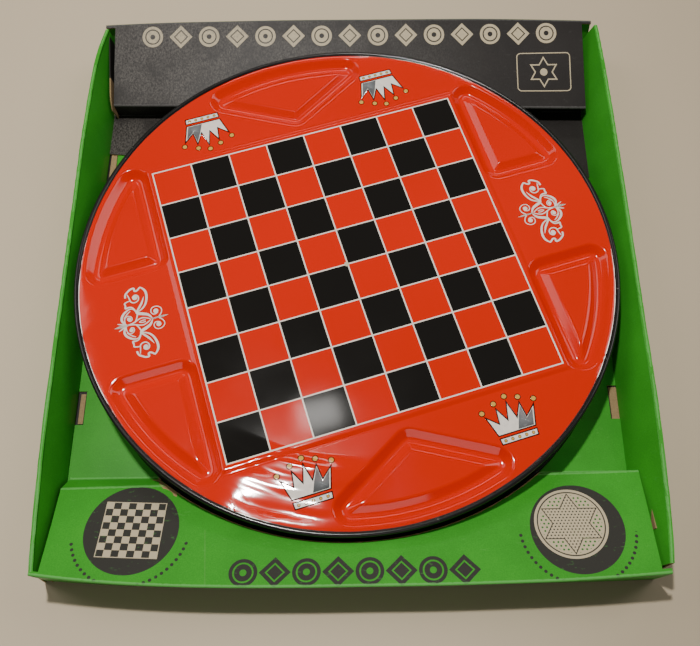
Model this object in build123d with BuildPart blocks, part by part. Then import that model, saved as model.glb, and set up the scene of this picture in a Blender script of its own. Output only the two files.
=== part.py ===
from build123d import *
from math import cos, degrees, radians, sin, sqrt, tan
import os

# Checkers set: a round tin playing board that lies in an open paperboard tray.
# Origin at the centre of the tray's underside, +X along the tray's width,
# +Y towards the black end, +Z up. Millimetres.

# Playing board: a closed tin drum, checkers on one face and a star game on the other
tin = 0.4                  # sheet thickness
square = 25.4              # one square of the checkerboard
squares_per_side = 8
board_radius = 168.2       # outside of the rolled beads
board_height = 32.6        # bead to bead
bead_radius = 1.55         # rolled edge
bead_rise = 1.1            # bead above the face that it holds
bead_sides = 16            # flats round the bead's section
band_inset = 1.5           # rim band behind the bead
seam_clearance = 0.05      # between sheets that are seamed together
board_turn = 16.8          # degrees that the board lies turned in the tray

# Raised checkerboard panel and the dent at its centre
panel_margin = 2.0
panel_step = 5.0           # width of the sloping step round the panel
panel_raise = 0.8
dent_radius = 1.6
dent_depth = 0.3

# Six pressed wells on each face: a groove round a raised plateau
well_depth = 4.0
well_slope = 5.0           # width of the slope down from the face to the groove
plateau_inset = 12.0       # from the well's edge to the plateau's edge
plateau_drop = 1.0         # plateau below the face
well_rim_gap = 4.6         # from the bead's inner edge to the well
well_corner = 10.0
plateau_corner = 0.6
well_side_gap = 1.4        # side well's straight edge, inside the panel's step
well_cross = 31.4          # side well's cross edge from the board's middle line
well_vertex = 110.1        # V-shaped well's point from the board's centre
well_half_angle = 60.0

# Star face: 121 dimples on a triangular grid
hole_pitch = 19.0
star_rows = 4              # rows in each point of the star
dimple_radius = 5.8
dimple_depth = 2.4

# Hatch in the rim, through which pieces are put in and poured out
hatch_turn = 131.0         # degrees round the board to the hatch
hatch_width = 27.0
door_lap = 2.5             # door beyond the opening on each side
door_gap = 0.3             # door clear of the band and beads
door_sheet = 0.5
pin_radius = 0.8
pin_clearance = 0.05
knuckle_wall = 0.55
knuckle_height = 6.0
leaf_width = 13.0
tab_width = 9.0
tab_reach = 2.6
rivet_radius = 0.9
rivet_head_radius = 1.8
rivet_head_height = 0.7
rivet_spacing = 12.0
hatch_swing = 90.0

# Playing pieces
marble_radius = 7.0
marble_count = 60
marble_colours = ["red", "blue", "green", "yellow", "white", "black"]
checker_radius = 11.0
checker_height = 5.0
checker_groove = 0.45      # depth of the rings pressed into both faces
checkers_per_stack = 4
stack_centre = 84.0        # stacks from the board's centre
stack_spacing = 24.0
piece_gap = 0.05           # pieces that lie on each other or on the sheet

# Tray: creased paperboard
card = 1.0
tray_height = 34.5
seat_gap = 0.2             # board above the foot flaps
foot_clearance = 0.5       # board's rim to the foot of a side wall
wall_flare = 3.5           # side wall's top outside its foot
wall_top_gap = 0.4         # between the two layers of a side wall, at the top
wall_foot_gap = 2.0        # and at the foot
arc_clearance = 0.8        # board's rim to the shelf's arc
shelf_ledge = 26.0         # narrowest part of a shelf
shelf_depth = 61.2         # shelf's length from its outer edge to its inner fold
shelf_drop = 18.9          # inner fold below the outer edge
shelf_side_gap = 2.2       # shelf's side edge to the foot of the side wall
ear_depth = 4.0            # full-width strip along the shelf's outer edge
ear_gap = 0.4
near_riser_lean = 6.0
far_riser_lean = 2.0
flap_length = 33.0         # foot flap on the floor
slot_width = 4.0
slot_length = 23.0
slot_to_fold = 35.8        # slot's outer end to the shelf's inner fold
tab_clearance = 0.3
gusset_gap = 0.4
tall_gusset = 23.0
low_gusset = 12.0

# Heights that follow from the stack of floor, foot flap and board
board_bottom = 2 * card + seat_gap
star_level = board_bottom + bead_rise
checker_level = board_bottom + board_height - bead_rise
middle_level = board_bottom + board_height / 2

# Radii that follow from the board's size
band_outer = board_radius - band_inset
band_inner = band_outer - tin
sheet_radius = band_inner - seam_clearance
bead_centre = board_radius - bead_radius
well_arc = bead_centre - bead_radius - well_rim_gap + seam_clearance
arc_radius = board_radius + arc_clearance
panel_half = squares_per_side * square / 2 + panel_margin
well_side = panel_half + well_side_gap

# Places in the tray that follow from the board's size
foot_inner = board_radius + foot_clearance
foot_outer = foot_inner + 2 * card + wall_foot_gap
top_inner = foot_inner + wall_flare
top_outer = top_inner + 2 * card + wall_top_gap
half_length = arc_radius + shelf_ledge
fold_y = half_length - shelf_depth
fold_z = tray_height - shelf_drop
shelf_slope = shelf_drop / shelf_depth
shelf_half = foot_inner - shelf_side_gap


checker_face_plane = Plane(
    origin=(0, 0, checker_level),
    x_dir=(cos(radians(board_turn)), sin(radians(board_turn)), 0),
    z_dir=(0, 0, 1),
)
star_face_plane = Plane(
    origin=(0, 0, star_level),
    x_dir=(cos(radians(board_turn)), sin(radians(board_turn)), 0),
    z_dir=(0, 0, -1),
)


os.makedirs("parts", exist_ok=True)


def save(part, name):
    part.label = name
    export_step(part, f"parts/{name}.step")


def round_well(inset):
    """Corner radius of a well's outline at an inset from its edge."""
    return max(well_corner - inset, plateau_corner)


def v_well(plane, inset):
    """Well with a V edge that points at the board's centre; its arc follows the rim."""
    arc = well_arc - inset
    rise = 1 / tan(radians(well_half_angle))
    vertex = well_vertex + inset / sin(radians(well_half_angle))
    side = (sqrt(arc**2 * (1 + rise**2) - vertex**2) - vertex * rise) / (1 + rise**2)
    end = (side, vertex + rise * side)
    other_end = (-side, end[1])
    with BuildSketch(plane) as outline:
        with BuildLine():
            Polyline(end, (0, vertex), other_end)
            ThreePointArc(other_end, (0, arc), end)
        make_face()
        fillet(outline.vertices(), round_well(inset))
    return outline.sketch


def side_well(plane, inset, left, down):
    """Well beside the panel: two straight edges and an arc that follows the rim."""
    arc = well_arc - inset
    x = well_side + inset
    y = well_cross + inset
    low = (left * sqrt(arc**2 - y**2), down * y)
    high = (left * x, down * sqrt(arc**2 - x**2))
    middle = (Vector(*low) + Vector(*high)).normalized() * arc
    with BuildSketch(plane) as outline:
        with BuildLine():
            Polyline(low, (left * x, down * y), high)
            ThreePointArc(high, (middle.X, middle.Y), low)
        make_face()
        fillet(outline.vertices(), round_well(inset))
    return outline.sketch


def slope(plane, outline, heights, insets, mode):
    """Sloping solid between a well's outline at two heights and insets."""
    ends = [outline(plane.offset(height), inset) for height, inset in zip(heights, insets)]
    loft(ends, ruled=True, mode=mode)


def press_wells(plane, wells, extra):
    """Press wells into a sheet whose outer face is the plane; extra is height kept open above it."""
    widen = extra * well_slope / well_depth
    for turn, outline in wells:
        well_plane = plane.rotated((0, 0, turn))
        top = (extra, -well_depth)
        under = (extra - tin, -well_depth - tin)
        slope(well_plane, outline, under, (-widen, well_slope), Mode.ADD)
        slope(well_plane, outline, top, (-widen, well_slope), Mode.SUBTRACT)
    for turn, outline in wells:
        well_plane = plane.rotated((0, 0, turn))
        top = (-well_depth, -plateau_drop)
        under = (-well_depth - tin, -plateau_drop - tin)
        slope(well_plane, outline, top, (well_slope, plateau_inset), Mode.ADD)
        slope(well_plane, outline, under, (well_slope, plateau_inset), Mode.SUBTRACT)


# Checkered face
side_wells = [
    (0, lambda plane, inset, left=left, down=down: side_well(plane, inset, left, down))
    for left in (1, -1)
    for down in (1, -1)
]
v_wells_of_checker_face = [(turn, v_well) for turn in (0, 180)]

with BuildPart() as checker_face:
    with BuildSketch(checker_face_plane):
        Circle(sheet_radius)
    extrude(amount=-tin)
    for height, mode in ((0, Mode.ADD), (-tin, Mode.SUBTRACT)):
        with BuildSketch(checker_face_plane.offset(height)):
            Rectangle(2 * (panel_half + panel_step), 2 * (panel_half + panel_step))
        with BuildSketch(checker_face_plane.offset(height + panel_raise)):
            Rectangle(2 * panel_half, 2 * panel_half)
        loft(ruled=True, mode=mode)
    press_wells(checker_face_plane, side_wells + v_wells_of_checker_face, panel_raise)
    dent_sphere = (dent_radius**2 + dent_depth**2) / (2 * dent_depth)
    with Locations((0, 0, checker_level + panel_raise + dent_sphere - dent_depth)):
        Sphere(dent_sphere, mode=Mode.SUBTRACT)
save(checker_face.part, "checker_face")


# Star face, outer side down
def hole_place(a, b):
    """Place of a hole on the triangular grid, from its two grid steps."""
    return (hole_pitch * a * cos(radians(30)), hole_pitch * (a * sin(radians(30)) + b))


reach = range(-2 * star_rows, 2 * star_rows + 1)
grid = [(a, b, -a - b) for a in reach for b in reach]
star_holes = [
    hole_place(a, b)
    for a, b, c in grid
    if min(a, b, c) >= -star_rows or max(a, b, c) <= star_rows
]

with BuildPart() as dimple:
    dimple_sphere = (dimple_radius**2 + dimple_depth**2) / (2 * dimple_depth)
    with BuildSketch(Plane.XZ):
        with Locations((0, dimple_sphere - dimple_depth)):
            Circle(dimple_sphere)
        with Locations((0, dimple_sphere)):
            Rectangle(4 * dimple_sphere, 2 * dimple_sphere, mode=Mode.SUBTRACT)
        with Locations((-2 * dimple_sphere, 0)):
            Rectangle(4 * dimple_sphere, 4 * dimple_sphere, mode=Mode.SUBTRACT)
    revolve(axis=Axis.Z)

with BuildPart() as star_face:
    with BuildSketch(star_face_plane):
        Circle(sheet_radius)
    extrude(amount=-tin)
    press_wells(star_face_plane, [(turn, v_well) for turn in range(30, 390, 60)], 0)
    for height, mode in ((-tin, Mode.ADD), (0, Mode.SUBTRACT)):
        with Locations(star_face_plane.offset(height)):
            with Locations(*star_holes):
                add(dimple.part, mode=mode)
save(star_face.part, "star_face")


# Rolled beads that hold the two faces to the rim band
def rim_bead(face_level, outward):
    """Hooked ring round one face; outward is 1 for the upper face and -1 for the lower."""
    with BuildPart() as bead:
        with BuildSketch(Plane.XZ):
            with Locations((bead_centre, face_level + outward * (bead_rise - bead_radius))):
                RegularPolygon(bead_radius, bead_sides)
            hold = band_outer + seam_clearance
            lip = face_level + outward * seam_clearance
            with Locations((hold / 2, lip - outward * bead_radius * 2)):
                Rectangle(hold, bead_radius * 4, mode=Mode.SUBTRACT)
        revolve(axis=Axis.Z)
    return bead.part


save(rim_bead(checker_level, 1), "upper_rim_bead")
save(rim_bead(star_level, -1), "lower_rim_bead")

# Rim band, a strip bent to a ring whose ends stop at the hatch
hatch_direction = board_turn + hatch_turn
hatch_half = degrees(hatch_width / 2 / band_outer)
door_half = degrees((hatch_width / 2 + door_lap) / band_outer)
hinge_direction = hatch_direction - door_half
hinge_radius = band_outer + door_gap + knuckle_wall + pin_radius
knuckle_radius = pin_radius + pin_clearance + knuckle_wall
rivet_direction = hinge_direction - degrees(leaf_width / 2 / band_outer) - 1


def upright(direction):
    """Upright plane through the board's axis; local x points out, local y up."""
    x_dir = (cos(radians(direction)), sin(radians(direction)), 0)
    z_dir = (sin(radians(direction)), -cos(radians(direction)), 0)
    return Plane(origin=(0, 0, 0), x_dir=x_dir, z_dir=z_dir)


def outward_plane(direction, radius, level):
    """Plane that faces away from the board's axis, at a radius and level."""
    out = (cos(radians(direction)), sin(radians(direction)), 0)
    along = (-sin(radians(direction)), cos(radians(direction)), 0)
    origin = (radius * out[0], radius * out[1], level)
    return Plane(origin=origin, x_dir=along, z_dir=out)


def curved_strip(start, sweep, inner, thickness, low, high, mode=Mode.ADD):
    """Strip bent round the board's axis, from a start direction through a sweep in degrees."""
    with BuildSketch(upright(start)) as section:
        with Locations((inner + thickness / 2, (low + high) / 2)):
            Rectangle(thickness, high - low)
    revolve(section.sketch, axis=Axis.Z, revolution_arc=sweep, mode=mode)


def rivet_holes():
    """Holes for the two rivets through everything near the band."""
    for side in (-1, 1):
        plane = outward_plane(rivet_direction, band_outer, middle_level + side * rivet_spacing / 2)
        with BuildSketch(plane) as hole:
            Circle(rivet_radius + pin_clearance)
        extrude(hole.sketch, amount=2 * rivet_radius, both=True, mode=Mode.SUBTRACT)


with BuildPart() as rim_band:
    curved_strip(
        hatch_direction + hatch_half, 360 - 2 * hatch_half, band_inner, tin, star_level, checker_level
    )
    rivet_holes()
save(rim_band.part, "rim_band")

# Hatch: leaf on the band, door, pin and rivets
door_low = star_level - bead_rise + 2 * bead_radius + door_gap
door_high = checker_level + bead_rise - 2 * bead_radius - door_gap
door_inner = band_outer + door_gap
leaf_inner = band_outer


def hinge_post(radius, low, high, mode=Mode.ADD):
    """Upright cylinder on the hinge line between two levels."""
    with BuildSketch(Plane.XY.offset(low)) as post:
        with PolarLocations(hinge_radius, 1, start_angle=hinge_direction):
            Circle(radius)
    extrude(post.sketch, amount=high - low, mode=mode)


split_low = door_low + knuckle_height
split_high = door_high - knuckle_height
room_radius = knuckle_radius + door_gap
bore_radius = pin_radius + pin_clearance

with BuildPart() as hatch_leaf:
    leaf_sweep = degrees(leaf_width / band_outer)
    curved_strip(hinge_direction - leaf_sweep, leaf_sweep, leaf_inner, door_sheet, door_low, door_high)
    hinge_post(room_radius, split_low, split_high, Mode.SUBTRACT)
    hinge_post(knuckle_radius, door_low, split_low)
    hinge_post(knuckle_radius, split_high, door_high)
    hinge_post(bore_radius, door_low, door_high, Mode.SUBTRACT)
    rivet_holes()
save(hatch_leaf.part, "hatch_leaf")

with BuildPart() as hatch_door:
    curved_strip(hinge_direction, 2 * door_half, door_inner, door_sheet, door_low, door_high)
    hinge_post(room_radius, door_low, split_low + door_gap, Mode.SUBTRACT)
    hinge_post(room_radius, split_high - door_gap, door_high, Mode.SUBTRACT)
    hinge_post(knuckle_radius, split_low + door_gap, split_high - door_gap)
    hinge_post(bore_radius, door_low, door_high, Mode.SUBTRACT)
    tab_direction = hinge_direction + 2 * door_half - degrees(door_sheet / band_outer)
    tab_low = middle_level - tab_width / 2
    tab_sweep = degrees(door_sheet / band_outer)
    curved_strip(tab_direction, tab_sweep, door_inner, tab_reach, tab_low, tab_low + tab_width)
save(hatch_door.part, "hatch_door")

with BuildPart() as hatch_pin:
    hinge_post(pin_radius, door_low, door_high)
save(hatch_pin.part, "hatch_pin")

with BuildPart() as hatch_rivets:
    for side in (-1, 1):
        level = middle_level + side * rivet_spacing / 2
        with BuildSketch(outward_plane(rivet_direction, band_inner, level)):
            Circle(rivet_radius)
        extrude(amount=tin + door_sheet)
        with BuildSketch(outward_plane(rivet_direction, leaf_inner + door_sheet, level)):
            Circle(rivet_head_radius)
        extrude(amount=rivet_head_height, taper=20)
save(hatch_rivets.part, "hatch_rivets")


# Marbles lie in the pockets between three dimples, nearest the centre first
sheet_top = star_level + tin
pockets = [
    hole_place(a + 1 / 3, b + 1 / 3)
    for a, b, c in grid
    if min(a, b, c - 1) >= -star_rows
]
pockets.sort(key=lambda place: (round(place[0] ** 2 + place[1] ** 2, 3), place))
inside_plane = checker_face_plane.offset(sheet_top - checker_level)

for index, colour in enumerate(marble_colours):
    places = pockets[index:marble_count:len(marble_colours)]
    with BuildPart() as marbles:
        with Locations(inside_plane.offset(marble_radius + piece_gap)):
            with Locations(*places):
                Sphere(marble_radius)
    save(marbles.part, f"{colour}_marbles")

# Draughts pieces lie on the backs of the dimples in stacks, two stacks to a point of the star
with BuildPart() as checker:
    with BuildSketch(Plane.XZ):
        with Locations((checker_radius / 2, checker_height / 2)):
            Rectangle(checker_radius, checker_height)
        ring_width = checker_radius / 9
        for ring in (2, 4, 6):
            for level in (0, checker_height):
                with Locations((ring * ring_width, level)):
                    Rectangle(ring_width, 2 * checker_groove, mode=Mode.SUBTRACT)
        edge = checker_height / 8
        with Locations((checker_radius, checker_height / 2)):
            Rectangle(edge, checker_height / 3, mode=Mode.SUBTRACT)
    revolve(axis=Axis.Z)

stack_level = dimple_depth + piece_gap
for colour, side in (("red", -1), ("black", 1)):
    with BuildPart() as checkers:
        for point_turn in (60, 180, 300):
            for layer in range(checkers_per_stack):
                level = stack_level + layer * (checker_height + piece_gap)
                with Locations(inside_plane.rotated((0, 0, point_turn)).offset(level)):
                    with Locations((stack_centre, side * stack_spacing / 2)):
                        add(checker.part)
    save(checkers.part, f"{colour}_checkers")


# Tray floor with lock slots beside the side walls
def slot_places():
    """Middle of each lock slot: side of the tray, end of the tray, x and y."""
    x = foot_inner + card - (slot_width + card) / 2
    y = fold_y - slot_to_fold - slot_length / 2
    return [(side, end, side * x, end * y) for side in (-1, 1) for end in (-1, 1)]


floor_half = foot_outer - card

with BuildPart() as tray_floor:
    with BuildSketch():
        Rectangle(2 * floor_half, 2 * (half_length - card))
        with Locations(*[(x, y) for _, _, x, y in slot_places()]):
            Rectangle(slot_width + card, slot_length, mode=Mode.SUBTRACT)
    extrude(amount=card)
save(tray_floor.part, "tray_floor")


# Side walls, folded double over the top edge
def side_wall(side):
    profile = [
        (foot_outer, 0),
        (top_outer, tray_height),
        (top_inner, tray_height),
        (foot_inner, card),
        (foot_inner + card, card),
        (top_inner + card, tray_height - card),
        (top_outer - card, tray_height - card),
        (foot_outer - card, 0),
    ]
    wall_half = half_length - ear_depth - ear_gap
    with BuildPart() as wall:
        with BuildSketch(Plane.XZ.offset(-wall_half)):
            with BuildLine():
                Polyline(*[(side * x, z) for x, z in profile], close=True)
            make_face()
        extrude(amount=2 * wall_half)
    return wall.part


for side, side_name in ((-1, "left"), (1, "right")):
    save(side_wall(side), f"{side_name}_side_wall")
    with BuildPart() as tabs:
        with BuildSketch(Plane.XY.offset(tab_clearance)):
            with Locations(*[(x, y) for tab_side, _, x, y in slot_places() if tab_side == side]):
                Rectangle(slot_width + card - 2 * tab_clearance, slot_length - 2 * tab_clearance)
        extrude(amount=card - tab_clearance)
    save(tabs.part, f"{side_name}_lock_tabs")


# End of the tray: outer wall, sloping shelf, riser and foot flap
def end_plane(end):
    """Upright plane across the tray's middle; local x runs outwards to that end."""
    return Plane(origin=(0, 0, 0), x_dir=(0, end, 0), z_dir=(end, 0, 0))


def arc_cut():
    """Room for the board: an upright cylinder a little larger than its rim."""
    with BuildSketch() as room:
        Circle(arc_radius)
    extrude(room.sketch, amount=tray_height, mode=Mode.SUBTRACT)


def across(half_width, end, *corners):
    """Solid with a cross-section of (outward, up) corners, as wide as the tray part that it makes."""
    with BuildSketch(end_plane(end)) as section:
        with BuildLine():
            Polyline(*corners, close=True)
        make_face()
    extrude(section.sketch, amount=half_width, both=True)


for end, end_name, riser_lean in ((-1, "near", near_riser_lean), (1, "far", far_riser_lean)):
    under_top = tray_height - card
    wall_back = half_length - card
    with BuildPart() as end_wall:
        across(
            top_outer, end,
            (half_length, 0), (half_length, under_top),
            (wall_back, under_top - shelf_slope * card), (wall_back, 0),
        )
    save(end_wall.part, f"{end_name}_end_wall")

    ear_y = half_length - ear_depth
    with BuildPart() as shelf:
        across(
            top_outer, end,
            (half_length, tray_height), (half_length, under_top),
            (fold_y, fold_z - card), (fold_y, fold_z),
        )
        for side in (-1, 1):
            with BuildSketch():
                with Locations((side * (shelf_half + top_outer) / 2, end * (fold_y + ear_y) / 2)):
                    Rectangle(top_outer - shelf_half, ear_y - fold_y)
            extrude(amount=tray_height, mode=Mode.SUBTRACT)
        arc_cut()
    save(shelf.part, f"{end_name}_shelf")

    riser_foot = fold_y - riser_lean
    with BuildPart() as riser:
        across(
            shelf_half, end,
            (fold_y, fold_z - card), (fold_y + card, fold_z - card + shelf_slope * card),
            (riser_foot + card, 2 * card), (riser_foot, 2 * card),
        )
        arc_cut()
    save(riser.part, f"{end_name}_riser")

    with BuildPart() as foot_flap:
        across(
            shelf_half, end,
            (riser_foot + card, card), (riser_foot + card, 2 * card),
            (riser_foot - flap_length, 2 * card), (riser_foot - flap_length, card),
        )
    save(foot_flap.part, f"{end_name}_foot_flap")

    for side, side_name in ((-1, "left"), (1, "right")):
        height = tall_gusset if side * end == -1 else low_gusset
        gusset_x = shelf_half + gusset_gap + card / 2
        with BuildPart() as gusset:
            with BuildSketch(Plane.XY.offset(card)):
                with Locations((side * gusset_x, end * (fold_y + wall_back) / 2)):
                    Rectangle(card, wall_back - fold_y)
            extrude(amount=height - card)
        save(gusset.part, f"{end_name}_{side_name}_gusset")
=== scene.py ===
import bmesh
import bpy
from math import atan2, cos, exp, pi, radians, sin, sqrt, tan
from mathutils import Matrix, Vector, noise
from mathutils.geometry import delaunay_2d_cdt


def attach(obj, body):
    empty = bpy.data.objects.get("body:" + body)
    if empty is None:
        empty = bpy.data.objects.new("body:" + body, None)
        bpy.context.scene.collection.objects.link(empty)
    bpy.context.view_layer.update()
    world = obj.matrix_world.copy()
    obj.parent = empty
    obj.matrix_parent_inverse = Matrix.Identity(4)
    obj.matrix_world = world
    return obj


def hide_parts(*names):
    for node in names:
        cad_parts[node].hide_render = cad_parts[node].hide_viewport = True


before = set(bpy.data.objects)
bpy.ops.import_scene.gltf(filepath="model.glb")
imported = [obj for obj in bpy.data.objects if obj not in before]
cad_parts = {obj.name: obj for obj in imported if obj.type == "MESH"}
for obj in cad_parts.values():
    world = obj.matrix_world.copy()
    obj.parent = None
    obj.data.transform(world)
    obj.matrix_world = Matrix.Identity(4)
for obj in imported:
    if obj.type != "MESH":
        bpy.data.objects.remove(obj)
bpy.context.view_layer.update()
mm = 0.001
boardTurn = radians(16.8)  # the board lies turned in its tray
sin60 = 0.866
print("frame loaded")

# the camera looks down from the near side
camera = {"place": (0.0116, -0.26954, 0.53078), "turn": (24.963, -0.160, -0.833),
          "lens": 46.815, "shift": (-0.0357, -0.0043)}
cameraData = bpy.data.cameras.new("camera")
cameraData.lens = camera["lens"]
cameraData.shift_x, cameraData.shift_y = camera["shift"]
cameraObject = bpy.data.objects.new("camera", cameraData)
cameraObject.location = camera["place"]
cameraObject.rotation_euler = [radians(a) for a in camera["turn"]]
bpy.context.collection.objects.link(cameraObject)
bpy.context.scene.camera = cameraObject
print("camera placed")


# paint nodes
class Wire:  # a socket of one material; Python's operators on it add Math nodes
    def __init__(self, tree, socket=None):
        self.tree, self.socket = tree, socket

    def node(self, kind, plugs, output=0, **settings):
        made = self.tree.nodes.new("ShaderNode" + kind)
        for name, setting in settings.items():
            setattr(made, name, setting)
        for key, value in plugs.items():
            if isinstance(value, Wire):
                self.tree.links.new(value.socket, made.inputs[key])
            elif isinstance(value, tuple) and made.inputs[key].type == "RGBA":
                made.inputs[key].default_value = (*value, 1)
            else:
                made.inputs[key].default_value = value
        return Wire(self.tree, made.outputs[output])

    def math(self, operation, *others):
        return self.node("Math", dict(enumerate((self, *others))), operation=operation)

    def turned(self, operation, other):  # with the other value first
        return self.node("Math", {0: other, 1: self}, operation=operation)

    def __add__(self, other): return self.math("ADD", other)
    def __radd__(self, other): return self.math("ADD", other)
    def __sub__(self, other): return self.math("SUBTRACT", other)
    def __rsub__(self, other): return self.turned("SUBTRACT", other)
    def __mul__(self, other): return self.math("MULTIPLY", other)
    def __rmul__(self, other): return self.math("MULTIPLY", other)
    def __truediv__(self, other): return self.math("DIVIDE", other)
    def __rtruediv__(self, other): return self.turned("DIVIDE", other)
    def __lt__(self, other): return self.math("LESS_THAN", other)
    def __gt__(self, other): return self.math("GREATER_THAN", other)
    def __and__(self, other): return self.math("MINIMUM", other)
    def __or__(self, other): return self.math("MAXIMUM", other)
    def __invert__(self): return 1 - self
    def __abs__(self): return self.math("ABSOLUTE")

    def rise(self, low, high):  # 0 below low, 1 above high, smooth between
        return self.node("MapRange", {0: self, 1: low, 2: high}, interpolation_type="SMOOTHSTEP")

    def mix(self, below, above):  # self is the share of above
        return self.node("Mix", {0: self, 6: below, 7: above}, output=2, data_type="RGBA")

    def noise(self, scale, detail=2.0, roughness=0.5, stretch=(1, 1, 1)):
        place = self.node("Mapping", {"Vector": self, "Scale": stretch})
        return self.node("TexNoise", {"Vector": place, "Scale": scale, "Detail": detail,
                                      "Roughness": roughness})

    def axes(self):  # x, y and z in millimetres
        return [self.node("SeparateXYZ", {0: self}, output=i) * 1000 for i in range(3)]


def newPaint(name):
    material = bpy.data.materials.new(name)
    material.use_nodes = True
    shader = material.node_tree.nodes["Principled BSDF"]
    start = Wire(material.node_tree)
    return material, shader, start.node("TexCoord", {}, output=3)


def dress(shader, **looks):
    for name, value in looks.items():
        plug = shader.inputs[name.replace("_", " ")]
        if isinstance(value, Wire):
            value.tree.links.new(value.socket, plug)
        else:
            plug.default_value = (*value, 1) if plug.type == "RGBA" else value


def length(x, y):
    return (x * x + y * y).math("SQRT")


def bump(height, strength=1.0):  # height is in metres
    return height.node("Bump", {"Strength": strength, "Distance": 1.0, "Height": height})


# mesh helpers
def newObject(name, bm, paints, body, replaced, crease=35):
    bmesh.ops.scale(bm, vec=(mm, mm, mm), verts=bm.verts)
    mesh = bpy.data.meshes.new(name)
    bm.to_mesh(mesh)
    bm.free()
    piece = bpy.data.objects.new(name, mesh)
    bpy.context.collection.objects.link(piece)
    for paint in paints:
        mesh.materials.append(paint)
    mesh.shade_smooth()
    if crease:
        mesh.set_sharp_from_angle(angle=radians(crease))
    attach(piece, body)
    if replaced:
        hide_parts(*replaced)
    return piece


def settle(piece):  # the modifiers' result becomes the mesh
    shape = piece.evaluated_get(bpy.context.evaluated_depsgraph_get())
    mesh = bpy.data.meshes.new_from_object(shape)
    piece.modifiers.clear()
    mesh.set_sharp_from_angle(angle=radians(40))
    piece.data = mesh


def modify(piece, kind, **settings):
    modifier = piece.modifiers.new(kind.lower(), kind)
    for name, setting in settings.items():
        setattr(modifier, name, setting)


def repaint(node, paint):  # the node keeps its mesh and gets a better finish
    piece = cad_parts[node]
    piece.data.materials.clear()
    piece.data.materials.append(paint)


def cutSheet(loops, level=0.0):  # flat, inside the first loop and open inside the others
    points, edges = [], []
    for loop in loops:
        first, count = len(points), len(loop)
        points += loop
        edges += [(first + i, first + (i + 1) % count) for i in range(count)]
    spots, _, sheets, _, _, _ = delaunay_2d_cdt(points, edges, [], 1, 1e-5)
    bm = bmesh.new()
    verts = [bm.verts.new((*spot, level)) for spot in spots]
    for sheet in sheets:
        bm.faces.new([verts[i] for i in sheet])
    rims, start = [], 0
    for loop in loops:
        rims.append(verts[start:start + len(loop)])
        start += len(loop)
    for rim in rims[1:]:
        corners = set(rim)
        hole = [f for f in bm.faces if all(v in corners for v in f.verts)]
        bmesh.ops.delete(bm, geom=hole, context="FACES_KEEP_BOUNDARY")
    return bm, rims


def extrudeLoop(bm, loop, spots):  # the extruded loop's corners go to the spots
    edges = [bm.edges.get(pair) for pair in zip(loop, loop[1:] + loop[:1])]
    made = set(bmesh.ops.extrude_edge_only(bm, edges=edges)["geom"])
    fresh = [next(e.other_vert(v) for e in v.link_edges if e.other_vert(v) in made) for v in loop]
    for v, spot in zip(fresh, spots):
        v.co = spot
    return fresh


def faceUp(bm):
    bmesh.ops.recalc_face_normals(bm, faces=bm.faces)
    if sum(f.normal.z * f.calc_area() for f in bm.faces) < 0:
        bmesh.ops.reverse_faces(bm, faces=bm.faces)


# printed and enamelled tin
tin = {"square": 25.4, "line": 0.85, "red": (0.74, 0.016, 0.0006), "black": (0.010, 0.009, 0.008),
       "white": (0.95, 0.87, 0.78), "metal": (0.70, 0.68, 0.64), "dent": (0.62, 0.60, 0.42),
       "dentPlace": -0.02, "dentSize": 0.085, "edge": (165.05, 165.55), "roughness": 0.07, "wave": 0.0002,
       # the buckled place: middle, reach, flange, folds round and across the rim, height in metres
       "buckle": (-38, -146), "reach": (24, 66), "flange": (121, 131), "folds": (2.6, 16),
       "foldHeight": 0.0040}


def tinWaves(place):
    slow = place.noise(8, 1.0) * tin["wave"]
    x, y, _ = place.axes()
    # the flange is buckled at the near side, in folds that run along the rim
    along, across = tin["folds"]
    around = x.node("CombineXYZ", {0: y.math("ARCTAN2", x) * along, 1: length(x, y) / across})
    near = ~length(x - tin["buckle"][0], (y - tin["buckle"][1]) * 1.3).rise(*tin["reach"])
    flange = length(x, y).rise(*tin["flange"])
    return slow + near * flange * around.noise(1.0, 0.8) * tin["foldHeight"]


def varnish(shader, place, colour, **looks):
    haze = place.noise(25, 3.0).rise(0.35, 0.75) * 0.03
    dress(shader, Base_Color=colour, Roughness=tin["roughness"] + haze,
          Normal=bump(tinWaves(place)), **looks)


def makeFacePaint():
    paint, shader, place = newPaint("redPrintedTin")
    local = place.node("Mapping", {"Vector": place, "Rotation": (0, 0, -boardTurn)})
    x, y, _ = [axis / tin["square"] for axis in local.axes()]
    inside = (abs(x) | abs(y)) < 4
    dark = inside & ((x * pi).math("SINE") * (y * pi).math("SINE") > 0)
    half = tin["line"] / 2 / tin["square"]
    lines = (x.math("PINGPONG", 0.5) & y.math("PINGPONG", 0.5)) < half
    lines = lines & ((abs(x) | abs(y)) < 4 + half)
    red = place.noise(6, 2.0).rise(0.3, 0.7).mix(tin["red"], tuple(c * 0.93 for c in tin["red"]))
    colour = dark.mix(red, tin["black"])
    colour = lines.mix(colour, tin["white"])
    # worn through at the middle and bright along the rolled edge
    spot = length(x - tin["dentPlace"], y) + place.noise(600, 2.0) * 0.05
    colour = (spot < tin["dentSize"]).mix(colour, tin["dent"])
    rim = length(x, y) * tin["square"] + place.noise(60, 2.0) * 0.5
    edge = (rim > tin["edge"][0]) & (rim < tin["edge"][1])
    colour = edge.mix(colour, tin["metal"])
    varnish(shader, place, colour, Metallic=edge)
    return paint


def makePrintPaint(name, colour):
    paint, shader, place = newPaint(name)
    tone = place.noise(300, 2.0).rise(0.3, 0.7)
    varnish(shader, place, tone.mix(colour, tuple(c * 0.9 for c in colour)))
    return paint


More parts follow.
